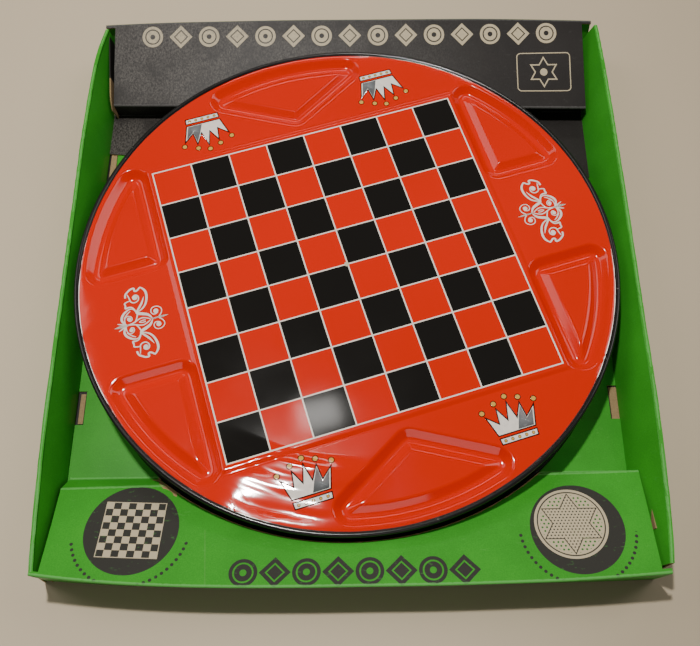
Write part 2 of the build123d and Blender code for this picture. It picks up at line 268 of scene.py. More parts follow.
def makeEnamelPaint():
    paint, shader, place = newPaint("blackEnamel")
    worn = place.noise(420, 3.0).rise(0.70, 0.74)
    colour = worn.mix((0.012, 0.011, 0.011), (0.09, 0.08, 0.07))
    rough = 0.15 + place.noise(80, 2.0) * 0.08 + worn * 0.4
    dress(shader, Base_Color=colour, Roughness=rough,
          Normal=bump(place.noise(60, 2.0) * 0.00006))
    return paint


facePaint = makeFacePaint()
whitePrint = makePrintPaint("whitePrint", (0.95, 0.88, 0.80))
blackPrint = makePrintPaint("blackPrint", (0.012, 0.011, 0.010))
greyPrint = makePrintPaint("greyPrint", (0.22, 0.23, 0.24))
goldPrint = makePrintPaint("goldPrint", (0.75, 0.42, 0.08))
enamelPaint = makeEnamelPaint()
print("tin paints made")

# the board's checkered face: a flat sheet with a raised panel and six pressed wells
face = {"level": 33.7, "radius": 165.25, "sides": 300, "sheet": 0.4,
        # distance from the middle, and height above the flange
        "panel": ((103.3, 0.8), (104.0, 0.77), (104.7, 0.64), (106.0, 0.12), (106.5, -0.02),
                  (107.0, -0.05), (107.5, 0.03), (108.0, 0))}
wells = {"arc": 162.0, "vertex": 110.1, "side": 105.0, "cross": 31.4, "corner": 10.0,
         "tight": 1.0, "rim": -1.3, "deepest": 4,
         # inset from the well's edge, and depth below the face
         "profile": ((-0.7, 0.04), (-0.1, 0.22), (0.5, 0.58), (1.1, 1.05), (3.9, 3.25),
                     (4.5, 3.62), (5.2, 3.88), (6.2, 4.0), (7.2, 3.88), (7.9, 3.6),
                     (11.0, 1.62), (11.6, 1.30), (12.3, 1.08), (13.2, 1.0))}


def wellLoop(kind, inset):  # a well's outline, moved in from its edge
    corner = max(wells["corner"] - inset, wells["tight"])
    inner = inset + corner
    reach = wells["arc"] - inner
    if kind == "v":
        rise = tan(radians(30))
        low = wells["vertex"] + inner / cos(radians(30))
        side = (sqrt(reach**2 * (1 + rise**2) - low**2) - low * rise) / (1 + rise**2)
        ends = [Vector((side, low + rise * side)), Vector((-side, low + rise * side))]
        point, lineIn, lineOut = Vector((0, low)), radians(-60), radians(240)
    else:
        x, y = wells["side"] + inner, wells["cross"] + inner
        ends = [Vector((sqrt(reach**2 - y**2), y)), Vector((x, sqrt(reach**2 - x**2)))]
        point, lineIn, lineOut = Vector((x, y)), radians(-90), radians(180)
    first, last = [atan2(e.y, e.x) for e in ends]
    spots = []

    def sweep(centre, radius, start, end, count):
        for i in range(count + 1):
            angle = start + (end - start) * i / count
            spots.append(centre + radius * Vector((cos(angle), sin(angle))))

    def straight(centre, angle, count):
        end = centre + corner * Vector((cos(angle), sin(angle)))
        start = spots[-1]
        spots.extend(start.lerp(end, i / count) for i in range(1, count))

    sweep(ends[0], corner, lineIn, first, 10)
    spots.pop()
    sweep(Vector((0, 0)), reach + corner, first, last, 36)
    spots.pop()
    sweep(ends[1], corner, last, lineOut, 10)
    straight(point, lineOut, 12)
    sweep(point, corner, lineOut, lineIn + 2 * pi, 8)
    straight(ends[0], lineIn, 12)
    return spots


def wellKinds():  # which outline, its mirroring across x and y
    return [("side", x, y) for x in (1, -1) for y in (1, -1)] + [("v", 1, 1), ("v", 1, -1)]


def panelRaise(x, y):
    away = max(abs(x), abs(y))
    step = face["panel"]
    for (near, high), (far, low) in zip(step, step[1:]):
        if away < far:
            return high + (low - high) * max(away - near, 0) / (far - near)
    return 0


def makeCheckerFace():
    around = [2 * pi * i / face["sides"] for i in range(face["sides"])]
    loops = [[Vector((cos(a), sin(a))) * face["radius"] for a in around]]
    for kind, mx, my in wellKinds():
        loops.append([Vector((s.x * mx, s.y * my)) for s in wellLoop(kind, wells["rim"])])
    bm, rims = cutSheet(loops)
    for rim, (kind, mx, my) in zip(rims[1:], wellKinds()):
        for inset, depth in wells["profile"]:
            rim = extrudeLoop(bm, rim, [(s.x * mx, s.y * my, -depth) for s in wellLoop(kind, inset)])
        bm.faces.new(rim)
    bmesh.ops.remove_doubles(bm, verts=bm.verts, dist=0.001)
    for edge, _ in face["panel"]:
        for way in (Vector((1, 0, 0)), Vector((0, 1, 0))):
            for side in (1, -1):
                bmesh.ops.bisect_plane(bm, geom=bm.verts[:] + bm.edges[:] + bm.faces[:],
                                       plane_co=way * edge * side, plane_no=way)
    for v in bm.verts:
        v.co.z += panelRaise(v.co.x, v.co.y) * max(0, 1 + v.co.z / wells["deepest"]) + face["level"]
    faceUp(bm)
    bmesh.ops.rotate(bm, verts=bm.verts, cent=(0, 0, 0), matrix=Matrix.Rotation(boardTurn, 3, "Z"))
    piece = newObject("checkerFace", bm, [facePaint], "board", ["checker_face"], 0)
    modify(piece, "SOLIDIFY", thickness=face["sheet"] * mm, offset=-1)
    modify(piece, "WEIGHTED_NORMAL", weight=60)


makeCheckerFace()
print("checkered face made")

# printed ornament: thin prints laid on the face, in board squares across and along
scroll = {"centre": 5.1, "lift": 0.03, "flat": 0.012, "weight": 0.8,
          "strokes": (  # along the arm, across it, and the stroke's width
              ((0.07, 0.27, 0.03), (-0.07, 0.31, 0.05), (-0.19, 0.43, 0.06), (-0.26, 0.65, 0.08),
               (-0.235, 0.84, 0.07), (-0.13, 0.92, 0.04)),
              ((0.07, 0.28, 0.05), (-0.045, 0.41, 0.08), (-0.13, 0.53, 0.05), (-0.176, 0.64, 0.01)),
              ((-0.13, 0.91, 0.05), (-0.06, 0.83, 0.06), (0.02, 0.85, 0.06), (-0.01, 0.93, 0.06),
               (0.08, 0.93, 0.06), (0.16, 0.88, 0.06), (0.25, 0.81, 0.06), (0.25, 0.72, 0.06)),
              ((0.19, 0.80, 0.03), (0.16, 0.69, 0.04), (0.15, 0.57, 0.04), (0.03, 0.53, 0.04),
               (-0.06, 0.60, 0.04), (-0.05, 0.72, 0.04), (0.05, 0.75, 0.04), (0.08, 0.68, 0.05)),
              ((0.14, 0.62, 0.03), (0.31, 0.61, 0.05), (0.28, 0.52, 0.05), (0.31, 0.44, 0.06),
               (0.22, 0.46, 0.05), (0.12, 0.43, 0.04), (0.07, 0.30, 0.03)),
              ((0.08, 0.29, 0.03), (0.12, 0.39, 0.03), (0.22, 0.41, 0.04), (0.34, 0.35, 0.07),
               (0.43, 0.25, 0.08), (0.45, 0.12, 0.07), (0.36, 0.01, 0.05)),
              ((0.20, 0.35, 0.02), (0.29, 0.31, 0.05), (0.38, 0.19, 0.03)),
              ((0.38, 0.05, 0.04), (0.39, 0.16, 0.03), (0.31, 0.25, 0.03), (0.20, 0.20, 0.03),
               (0.20, 0.10, 0.03), (0.28, 0.08, 0.04), (0.29, 0.15, 0.06)),
              ((0.28, 0, 0.05), (0.42, 0, 0.08), (0.52, 0, 0.11), (0.65, 0, 0.01)),
              ((0.38, 0.02, 0.05), (0.46, 0.06, 0.06), (0.56, 0.10, 0.02)),
              ((-0.65, 0, 0.005), (-0.52, 0, 0.08), (-0.44, 0, 0.05), (-0.24, 0, 0.05)),
              ((-0.42, 0.02, 0.04), (-0.50, 0.08, 0.03), (-0.53, 0.22, 0.03), (-0.42, 0.31, 0.03),
               (-0.29, 0.29, 0.03), (-0.25, 0.17, 0.03), (-0.33, 0.08, 0.04), (-0.42, 0.14, 0.04)),
              ((-0.26, 0.02, 0.03), (-0.21, 0.13, 0.08), (-0.08, 0.19, 0.10), (0.06, 0.24, 0.10),
               (0.08, 0.29, 0.04)),
              ((-0.22, 0.01, 0.03), (-0.08, 0.10, 0.04), (0.04, 0.09, 0.04), (0.20, 0.01, 0.04),
               (0.32, 0.0, 0.05)),
              ((0.05, 0.24, 0.05), (0.08, 0.12, 0.04), (0.14, 0.05, 0.03)),
              ((-0.10, 0.02, 0.03), (-0.01, 0.04, 0.04), (0.06, 0.0, 0.02))),
          "discs": ((0.03, 0.67, 0.062), (0.27, 0.15, 0.05), (-0.38, 0.18, 0.06))}


def makeScrolls():
    square = tin["square"]
    drawn = bpy.data.curves.new("scrolls", "CURVE")
    drawn.dimensions, drawn.bevel_depth, drawn.bevel_resolution = "3D", 0.5, 2
    drawn.resolution_u, drawn.use_fill_caps = 5, True
    turn = Matrix.Rotation(boardTurn, 3, "Z")
    level = face["level"] + scroll["lift"]
    for side in (1, -1):
        for half in (1, -1):
            for stroke in scroll["strokes"]:
                line = drawn.splines.new("NURBS")
                line.points.add(len(stroke) - 1)
                for point, (x, y, width) in zip(line.points, stroke):
                    spot = turn @ Vector((side * (x + scroll["centre"]), half * y, 0)) * square
                    point.co = (spot.x * mm, spot.y * mm, 0, 1)
                    point.radius = width * square * mm * scroll["weight"]
                line.order_u, line.use_endpoint_u = 3, True
    curve = bpy.data.objects.new("scrolls", drawn)
    bpy.context.collection.objects.link(curve)
    mesh = bpy.data.meshes.new_from_object(curve.evaluated_get(bpy.context.evaluated_depsgraph_get()))
    bpy.data.objects.remove(curve)
    bm = bmesh.new()
    bm.from_mesh(mesh)
    for side in (1, -1):
        for half in (1, -1):
            for x, y, radius in scroll["discs"]:
                spot = turn @ Vector((side * (x + scroll["centre"]), half * y, 0)) * square * mm
                size = radius * square * mm
                bmesh.ops.create_uvsphere(bm, u_segments=20, v_segments=8, radius=size,
                                          matrix=Matrix.Translation(spot))
    bmesh.ops.scale(bm, vec=(1 / mm, 1 / mm, scroll["flat"] / mm), verts=bm.verts)
    bmesh.ops.translate(bm, vec=(0, 0, level), verts=bm.verts)
    newObject("scrolls", bm, [whitePrint], "board", [], 0)


crown = {"places": ((61, 126), (-61, 126), (61, -126), (-61, -126)), "line": 0.7, "lift": 0.03,
         "layer": 0.03, "print": 0.02, "ball": (1.9, 0.5), "gem": (1.0, 0.3), "discSides": 20,
         "outline": ((-11.5, -6.5), (11.5, -6.5), (15.5, 7.5), (8.6, 1.2), (7.4, 11.0), (2.9, 2.4),
                     (0, 13.5), (-2.9, 2.4), (-7.4, 11.0), (-8.6, 1.2), (-15.5, 7.5)),
         "shade": ((1.0, -5.5), (10.4, -5.5), (13.2, 4.2), (8.0, -0.6), (6.9, 8.0), (3.6, 1.2)),
         "band": ((-11.2, -12.0), (11.2, -12.0), (11.6, -7.6), (-11.6, -7.6)),
         "balls": ((-15.9, 9.4), (-7.5, 13.0), (0, 15.6), (7.5, 13.0), (15.9, 9.4)),
         "gems": ((-8.4, -9.8), (-4.2, -9.8), (0, -9.8), (4.2, -9.8), (8.4, -9.8))}


def makeCrowns():
    bm = bmesh.new()
    level = face["level"] + crown["lift"]

    def lay(spots, where, layer, paint, line=0.0):
        x, y = where
        up = -1 if y > 0 else 1
        loop = [bm.verts.new((x + u * up, y + v * up, level + layer * crown["layer"]))
                for u, v in spots]
        sheet = bm.faces.new(loop)
        sheet.normal_update()
        if sheet.normal.z < 0:
            sheet.normal_flip()
        sheet.material_index = paint
        if line:
            for f in bmesh.ops.inset_region(bm, faces=[sheet], use_boundary=True, use_even_offset=True,
                                            thickness=line)["faces"]:
                f.material_index = 1

    def disc(spot, size, where):
        radius, line = size
        around = [2 * pi * i / crown["discSides"] for i in range(crown["discSides"])]
        lay([(spot[0] + radius * cos(a), spot[1] + radius * sin(a)) for a in around], where, 1, 3, line)

    for where in crown["places"]:
        lay(crown["outline"], where, 0, 0, crown["line"])
        lay(crown["shade"], where, 1, 2)
        lay(crown["band"], where, 0, 0, crown["line"])
        for spot in crown["balls"]:
            disc(spot, crown["ball"], where)
        for spot in crown["gems"]:
            disc(spot, crown["gem"], where)
    bmesh.ops.rotate(bm, verts=bm.verts, cent=(0, 0, 0), matrix=Matrix.Rotation(boardTurn, 3, "Z"))
    piece = newObject("crowns", bm, [whitePrint, blackPrint, greyPrint, goldPrint], "board", [],
                      0)
    modify(piece, "SOLIDIFY", thickness=crown["print"] * mm, offset=-1)


makeScrolls()
makeCrowns()
print("ornament laid on")

# rolled beads
beads = {"radius": 1.55, "centre": 166.65, "upper": 33.25, "lower": 3.75, "around": 240, "section": 16}


def makeBead(name, level, node):
    bm = bmesh.new()
    ring = bmesh.ops.create_circle(bm, segments=beads["section"], radius=beads["radius"],
                                   matrix=Matrix.Translation((beads["centre"], 0, level))
                                   @ Matrix.Rotation(pi / 2, 4, "X"))
    bmesh.ops.spin(bm, geom=ring["verts"] + bm.edges[:], axis=(0, 0, 1), cent=(0, 0, 0),
                   angle=2 * pi, steps=beads["around"], use_merge=True)
    bmesh.ops.remove_doubles(bm, verts=bm.verts, dist=0.001)
    bmesh.ops.recalc_face_normals(bm, faces=bm.faces)
    newObject(name, bm, [enamelPaint], "board", [node], 0)


makeBead("upperRimBead", beads["upper"], "upper_rim_bead")
makeBead("lowerRimBead", beads["lower"], "lower_rim_bead")
repaint("rim_band", enamelPaint)
print("beads made")

# printed paperboard
card = {"thickness": 1.0, "green": (0.043, 0.32, 0.022), "black": (0.026, 0.023, 0.022),
        "ink": (0.038, 0.037, 0.032), "cream": (0.55, 0.465, 0.31), "kraft": (0.37, 0.25, 0.12),
        "rubbed": (0.17, 0.155, 0.14), "creased": (0.12, 0.36, 0.08), "pegs": (0.03, 0.16, 0.03),
        "sheen": 0.12}


def makeCardPaint(name, ink, makePrints=None, rubbed=0.0):
    paint, shader, place = newPaint(name)
    x, y, _ = place.axes()
    fibre = place.noise(1400, 3.0, 0.6)
    blotch = place.noise(28, 3.0)
    tone = (fibre * 0.5 + blotch * 0.5).rise(0.35, 0.65)
    colour = tone.mix(tuple(c * 0.86 for c in ink), tuple(min(c * 1.1, 1) for c in ink))
    scuff = place.noise(210, 4.0, 0.65, stretch=(1, 2.5, 1)).rise(0.60, 0.72) * 0.35
    for mask, layer in makePrints(place, x, y) if makePrints else ():
        colour = (mask * ~(scuff * 0.5)).mix(colour, layer)
    if rubbed:  # the ink is rubbed off the fibres, most at the left
        patch = (x * -1).rise(-150, 120) * place.noise(38, 3.0, 0.6).rise(0.25, 0.6)
        grain = place.noise(950, 4.0, 0.8, stretch=(1, 0.6, 1)).rise(0.38, 0.66) * patch
        colour = (grain * rubbed).mix(colour, card["rubbed"])
    # paler along the folds: partly rubbed ink, partly a painted highlight where the rounded folds catch
    # the light; scuffs are paler too
    worn = place.node("Attribute", {}, output=2, attribute_name="fold")
    foldWearAndHighlight = (worn * (0.45 + place.noise(500, 3.0) * 1.1)).rise(0.55, 0.95) * 0.55
    pale = tuple(min(c * 1.3 + 0.10, 1) for c in ink)
    colour = (foldWearAndHighlight | scuff * 0.35).mix(colour, pale)
    dress(shader, Base_Color=colour, Roughness=0.36 + fibre * 0.08 + foldWearAndHighlight * 0.2,
          Specular_IOR_Level=card["sheen"],
          Normal=bump(fibre * 0.00003 + place.noise(110, 2.0) * 0.00008))
    return paint


def makeKraftPaint():
    paint, shader, place = newPaint("bareBoard")
    fibre = place.noise(900, 4.0, 0.65)
    colour = fibre.rise(0.3, 0.7).mix(tuple(c * 0.75 for c in card["kraft"]), card["kraft"])
    dress(shader, Base_Color=colour, Roughness=0.85, Normal=bump(fibre * 0.00006))
    return paint


# what is printed on the ends: millimetres in the tray's own plan
prints = {"boardDisc": (-120.3, -160.1), "starDisc": (126.6, -163.1), "disc": 26.2,
          # the checkered disc: a square's two sides, and how far each is turned
          "check": (4.22, 4.06), "checkTurn": (-0.03, 0.045),
          # the star disc: plate's place and size, ring, star, its dots and those round it
          "plate": (-3.0, 3.0, 20.5), "plateRing": (18.3, 19.0), "starSize": (8.6, 9.1),
          "starDots": 2.0, "pegDots": 2.5, "dotFrom": 1.2, "pegs": (10.2, 17.2),
          # dotted arcs: radius, and where they start and end in degrees
          "boardArc": (32.4, -168, -12), "starArc": (32.0, -178, -4), "arcPitch": 3.4, "arcDot": 0.95,
          # rows of motifs: start, level, pitch, count, size
          "nearRow": (-65.0, -185.6, 17.0, 8, 7.7), "farRow": (-147.5, 185.8, 19.9, 15, 7.2),
          "frame": (138.3, 158.2, 19.0, 13.8), "frameCorner": 3, "frameLine": 0.7,
          "mark": (5.6, 4.7, 2.6), "crease": (-79.6, -160.8, -0.113),
          "creaseEnd": -194, "creaseWide": 0.55,
          # bare board: torn from, to and how far out, and frayed along the arc
          "torn": (-119, -98, 174.0), "frayed": 170.3, "flapTop": 5}


def inDisc(x, y, centre, radius):
    return length(x - centre[0], y - centre[1]) < radius


def motifRow(x, y, row):  # playing pieces from above and lozenges, in turn
    start, level, pitch, count, size = row
    u = (x - start) / pitch
    inside = (u > 0) & (u < count)
    cell = u.math("FLOOR")
    across = (u - cell - 0.5) * pitch
    up = y - level
    piece = length(across, up) / size
    stone = (piece < 1) & ~((piece > 0.62) & (piece < 0.74)) & (piece > 0.24)
    lozenge = (abs(across) + abs(up)) / (size * 1.12)
    gem = (lozenge < 1) & ~((lozenge > 0.5) & (lozenge < 0.63))
    odd = (cell * 0.5).math("FRACT") > 0.25
    return inside & ((stone & ~odd) | (gem & odd))


def triangles(x, y):  # how far out, measured square to the sides of two crossed triangles
    up = (y * -1) | (abs(x) * sin60 + y * 0.5)
    down = y | (abs(x) * sin60 - y * 0.5)
    return up, down


def starShape(x, y, radius):
    up, down = triangles(x, y)
    return (up & down) < radius


def gridWaves(x, y, pitch):  # highest at the points of a triangular grid, where it is 3
    k = 2 * pi / (sin60 * pitch)
    ways = (y, x * sin60 + y * 0.5, x * sin60 - y * 0.5)
    first, second, third = [(way * k).math("COSINE") for way in ways]
    return first + second + third


def dottedArc(x, y, centre, arc):
    radius, low, high = arc
    pitch = prints["arcPitch"]
    angle = (y - centre[1]).math("ARCTAN2", x - centre[0])
    along = angle * (radius / pitch)
    away = length(x - centre[0], y - centre[1]) - radius
    dot = length((along.math("FRACT") - 0.5) * pitch, away) < prints["arcDot"]
    return dot & (angle > radians(low)) & (angle < radians(high))


def outside(x):  # the outer face of an end wall
    return x.node("Attribute", {}, output=2, attribute_name="outer") > 0.5


def nearPrints(place, x, y):
    cx, cy = prints["boardDisc"]
    yield inDisc(x, y, (cx, cy), prints["disc"]), card["ink"]
    u = (x - cx + (y - cy) * prints["checkTurn"][0]) / prints["check"][0]
    v = (y - cy + (x - cx) * prints["checkTurn"][1]) / prints["check"][1]
    checks = ((u * pi).math("SINE") * (v * pi).math("SINE")) < 0
    yield ((abs(u) | abs(v)) < 4) & checks, card["cream"]
    yield ((abs(u) | abs(v)) < 4.06) & ((abs(u) | abs(v)) > 3.94), card["cream"]
    cx, cy = prints["starDisc"]
    yield inDisc(x, y, (cx, cy), prints["disc"]), card["ink"]
    u, v = x - cx - prints["plate"][0], y - cy - prints["plate"][1]
    yield length(u, v) < prints["plate"][2], card["cream"]
    low, high = prints["plateRing"]
    yield (length(u, v) > low) & (length(u, v) < high), card["ink"]
    inner, outer = [starShape(u, v, size) for size in prints["starSize"]]
    yield outer & ~inner, card["ink"]
    yield inner & (gridWaves(u, v, prints["starDots"]) > prints["dotFrom"]), card["ink"]
    low, high = prints["pegs"]
    pegs = ~starShape(u, v, low) & (length(u, v) < high)
    yield pegs & (gridWaves(u, v, prints["pegDots"]) > prints["dotFrom"]), card["pegs"]
    yield motifRow(x, y, prints["nearRow"]), card["ink"]
    yield dottedArc(x, y, prints["boardDisc"], prints["boardArc"]), card["ink"]
    yield dottedArc(x, y, prints["starDisc"], prints["starArc"]), card["ink"]
    cx, cy, slant = prints["crease"]
    crease = abs(x - cx - (y - cy) * slant) + place.noise(300, 2.0) * 0.5
    crease = (crease < prints["creaseWide"]) & (y < cy) & (y > prints["creaseEnd"])
    yield crease * 0.3, card["creased"]
    upper = place.axes()[2] > prints["flapTop"]  # the shelf and the riser's top, not the foot flap
    low, high, out = prints["torn"]
    torn = length(x, y) + place.noise(120, 3.0) * 5 < out
    yield torn & (x > low) & (x < high) & upper, card["kraft"]
    frayed = length(x, y) + place.noise(260, 3.0) * 1.6 < prints["frayed"]
    yield frayed & upper, card["kraft"]
    yield outside(x), card["green"]


def farPrints(place, x, y):
    yield motifRow(x, y, prints["farRow"]), card["cream"]
    cx, cy, wide, high = prints["frame"]
    corner = prints["frameCorner"]
    u, v = abs(x - cx) - wide + corner, abs(y - cy) - high + corner
    edge = length(u | 0, v | 0) + ((u | v) & 0)
    yield (edge < corner) & (edge > corner - prints["frameLine"]), card["cream"]
    outer, inner, dot = prints["mark"]
    yield starShape(x - cx, y - cy, outer) & ~starShape(x - cx, y - cy, inner), card["cream"]
    yield inDisc(x, y, (cx, cy), dot), card["cream"]
    yield outside(x), card["green"]


kraftPaint = makeKraftPaint()
greenPaint = makeCardPaint("greenCard", card["green"])
blackPaint = makeCardPaint("blackCard", card["black"])
nearPaint = makeCardPaint("nearEndCard", card["green"], nearPrints)
farPaint = makeCardPaint("farEndCard", card["black"], farPrints, 0.6)
print("card paints made")

# tray ends: one folded sheet each, from the outer wall over the shelf to the foot flap
ends = {"half": 174.6, "narrow": {-1: 169.4, 1: 168.0}, "length": 195.0, "height": 34.5,
        "fold": 133.8, "foldLevel": 15.6, "flap": 33.0, "flapLevel": 1.5, "ear": 4.0,
        "columns": 70, "rows": (6, 24, 4, 8, 0), "bend": 0.8, "bendSteps": 4,
        # what counts as the wall, as its outer face and as the foot flap
        "wallBand": 1.5, "outerBand": 0.9, "wideFlap": 3, "skewFlap": 2.2,
        "arc": 169.0, "arcLevel": 2.1, "arcHeight": 60, "arcSides": 240,
        # the shelf is not quite flat, and fades to straight at its folds; nor is the wall
        "warp": 0.9, "warpSize": (70, 45), "warpFade": 12, "warpSeed": 3.1,
        "wave": 0.3, "waveSize": 60, "waveFrom": 190, "waveLevel": 34}


def bendPath(corners, radius, steps):  # gives each row's place, and 1 where it lies on a fold
    rows = []
    for i, (spot, count) in enumerate(corners):
        here = Vector(spot)
        if 0 < i < len(corners) - 1:
            before = (Vector(corners[i - 1][0]) - here).normalized()
            after = (Vector(corners[i + 1][0]) - here).normalized()
            start, end = here + before * radius, here + after * radius
            turn = [start.lerp(here, t).lerp(here.lerp(end, t), t)
                    for t in [s / steps for s in range(steps + 1)]]
            rows += [(start + before * radius * 1.5, 0)] + [(p, 1) for p in turn]
            rows.append((end + after * radius * 1.5, 0))
        else:
            rows.append((here, 0))
        if count:
            there = Vector(corners[i + 1][0])
            rows += [(here.lerp(there, (k + 1) / (count + 1)), 0) for k in range(count)]
    return rows


# the card has bowed and its folds lie a little askew: millimetres outward
settled = {-1: {"top": -0.6, "corners": (-8.4, -4.6), "foot": -6.2, "footCorners": (-5.5, -1.6),
                "fold": -3.0, "riser": -3.0},
           1: {"top": 3.0, "corners": (-3.2, -3.0), "foot": -5.0, "footCorners": (-3.0, -3.0),
               "fold": 1.2, "riser": 0.1},
           "skew": 0.018, "across": 1.3, "narrow": 0.984, "flapSkew": 0.75,
           "foot": {-1: (166.8, 164.8), 1: (167.2, 167.0)}, "widen": (0.2, 0.38), "flapWide": 1.02}


def settleEnd(end, across, spot):
    lean = settled[end]
    side = 0 if across < 0 else 1
    corner = lean["corners"][side] * abs(across) ** 3
    lift = spot.y / ends["height"]
    if spot.x > ends["length"] - ends["wallBand"]:
        foot = lean["foot"] + lean["footCorners"][side] * abs(across) ** 3
        return foot * (1 - lift) + (lean["top"] + corner) * lift
    top, level = ends["length"] - 0.5, ends["foldLevel"] - 1.1
    share = min(max((top - spot.x) / (top - ends["fold"]), 0), 1)
    fold = lean["fold"] - settled["skew"] * across * ends["half"]
    if spot.y < level:
        past = min((level - spot.y) / (level - ends["flapLevel"]), 1)
        return fold * (1 - past) + lean["riser"] * past
    return (lean["top"] + corner) * (1 - share) + fold * share


def warpEnd(bm, end):
    for v in bm.verts:
        out, fade = abs(v.co.y), ends["warpFade"]
        inner, outer = (out - ends["fold"]) / fade, (ends["length"] - out) / fade
        shelf = min(max(inner, 0), 1) * min(max(outer, 0), 1)
        place = Vector((v.co.x / ends["warpSize"][0], v.co.y / ends["warpSize"][1],
                        end * ends["warpSeed"]))
        v.co.z += shelf * noise.noise(place) * ends["warp"]
        if out > ends["waveFrom"]:
            place = Vector((v.co.x / ends["waveSize"], 5, end))
            v.co.y += end * noise.noise(place) * ends["wave"] * v.co.z / ends["waveLevel"]


def cutArc(piece, paints):  # the board's round place
    bm = bmesh.new()
    middle = Matrix.Translation((0, 0, ends["arcLevel"] + ends["arcHeight"] / 2))
    bmesh.ops.create_cone(bm, cap_ends=True, segments=ends["arcSides"], radius1=ends["arc"],
                          radius2=ends["arc"], depth=ends["arcHeight"], matrix=middle)
    bmesh.ops.scale(bm, vec=(mm, mm, mm), verts=bm.verts)
    for f in bm.faces:
        f.material_index = 1
    mesh = bpy.data.meshes.new("arcCutter")
    bm.to_mesh(mesh)
    bm.free()
    for paint in paints:
        mesh.materials.append(paint)
    tool = bpy.data.objects.new("arcCutter", mesh)
    bpy.context.collection.objects.link(tool)
    modify(piece, "BOOLEAN", operation="DIFFERENCE", object=tool, solver="EXACT",
           material_mode="INDEX", use_self=True)
    settle(piece)
    bpy.data.objects.remove(tool)


def makeEnd(name, end, lean, paints, nodes):
    half = card["thickness"] / 2
    wall = ends["length"] - half
    foot = ends["fold"] - lean
    path = ((wall, half), (wall, ends["height"] - half * 1.1),
            (ends["fold"] + half * 0.8, ends["foldLevel"] - half * 1.1),
            (foot + half, ends["flapLevel"]), (foot - ends["flap"], ends["flapLevel"]))
    rows = bendPath(list(zip(path, ends["rows"])), ends["bend"], ends["bendSteps"])
    columns = ends["columns"]
    bm = bmesh.new()
    bmesh.ops.create_grid(bm, x_segments=columns, y_segments=len(rows) - 1, size=1)
    foldLayer = bm.verts.layers.float.new("fold")
    outerLayer = bm.verts.layers.float.new("outer")
    narrowAt = ends["narrow"][end] / ends["half"]
    cut = []
    for v in bm.verts:
        across, row = v.co.x, round((v.co.y + 1) / 2 * (len(rows) - 1))
        spot, fold = rows[row]
        v[foldLayer] = fold
        v[outerLayer] = float(spot.x > ends["length"] - ends["outerBand"])
        step = 2 / columns
        if abs(abs(across) - narrowAt) < step / 2:
            across = narrowAt if across > 0 else -narrowAt
        x = across * ends["half"] * settled["narrow"] + settled["across"]
        y = spot.x + settleEnd(end, across, spot)
        if spot.x < ends["length"] - ends["wallBand"]:  # between the side walls' feet
            (left, right), (leftSlope, rightSlope) = settled["foot"][end], settled["widen"]
            x *= settled["flapWide"] if spot.y < ends["wideFlap"] and end > 0 else 1
            x = min(max(x, -left - leftSlope * spot.y), right + rightSlope * spot.y)
        if end > 0 and spot.y < ends["skewFlap"]:  # the far flap is cut askew
            y -= max(foot - spot.x, 0) * settled["flapSkew"] * (across + 1) / 2
        v.co = (x, y * end, spot.y)
        beside = abs(across) > narrowAt + 1e-4 and spot.x < ends["length"] - ends["ear"]
        if beside and row > ends["rows"][0]:
            cut.append(v)
    bmesh.ops.delete(bm, geom=cut, context="VERTS")
    warpEnd(bm, end)
    faceUp(bm)
    piece = newObject(name, bm, paints, "tray", nodes, 40)
    modify(piece, "SOLIDIFY", thickness=card["thickness"] * mm, offset=0, material_offset_rim=1)
    cutArc(piece, paints)


makeEnd("nearEnd", -1, 6.0, [nearPaint, kraftPaint],
        ["near_end_wall", "near_shelf", "near_riser", "near_foot_flap"])
makeEnd("farEnd", 1, -6.5, [farPaint, kraftPaint],
        ["far_end_wall", "far_shelf", "far_riser", "far_foot_flap"])
print("tray ends made")

# side walls: one sheet each, folded double over the top edge
walls = {"height": 34.0, "half": 190.6, "near": 6.5, "columns": 48, "bend": 0.6, "bendSteps": 5,
         # the sheet's path, outer foot to inner foot, and the rows between
         "path": ((172.2, 0.5), (174.1, 33.65), (173.5, 33.65), (169.2, 1.5)), "rows": (8, 0, 8, 0),
         # at the top: outwards, more to the far end, less at the far and near corners
         "lean": {-1: (0.7, 1.9, 3.4, 3.2), 1: (4.6, 0.0, 2.2, 4.6)}, "sag": 1.5, "wave": 0.5,
         "pinch": {-1: 3.6, 1: 0.0}, "pinchFrom": 0.75,  # the far end is bent in
         # the inner foot, near and far, and beside the board
         "foot": {-1: (167.7, 167.4), 1: (164.9, 167.4)}, "middle": 169.4, "middleReach": 34}


def footLine(side, along):
    near, far = walls["foot"][side]
    base = near + (far - near) * (along + 1) / 2
    return base + (walls["middle"] - base) * exp(-(along * walls["half"] / walls["middleReach"]) ** 2)


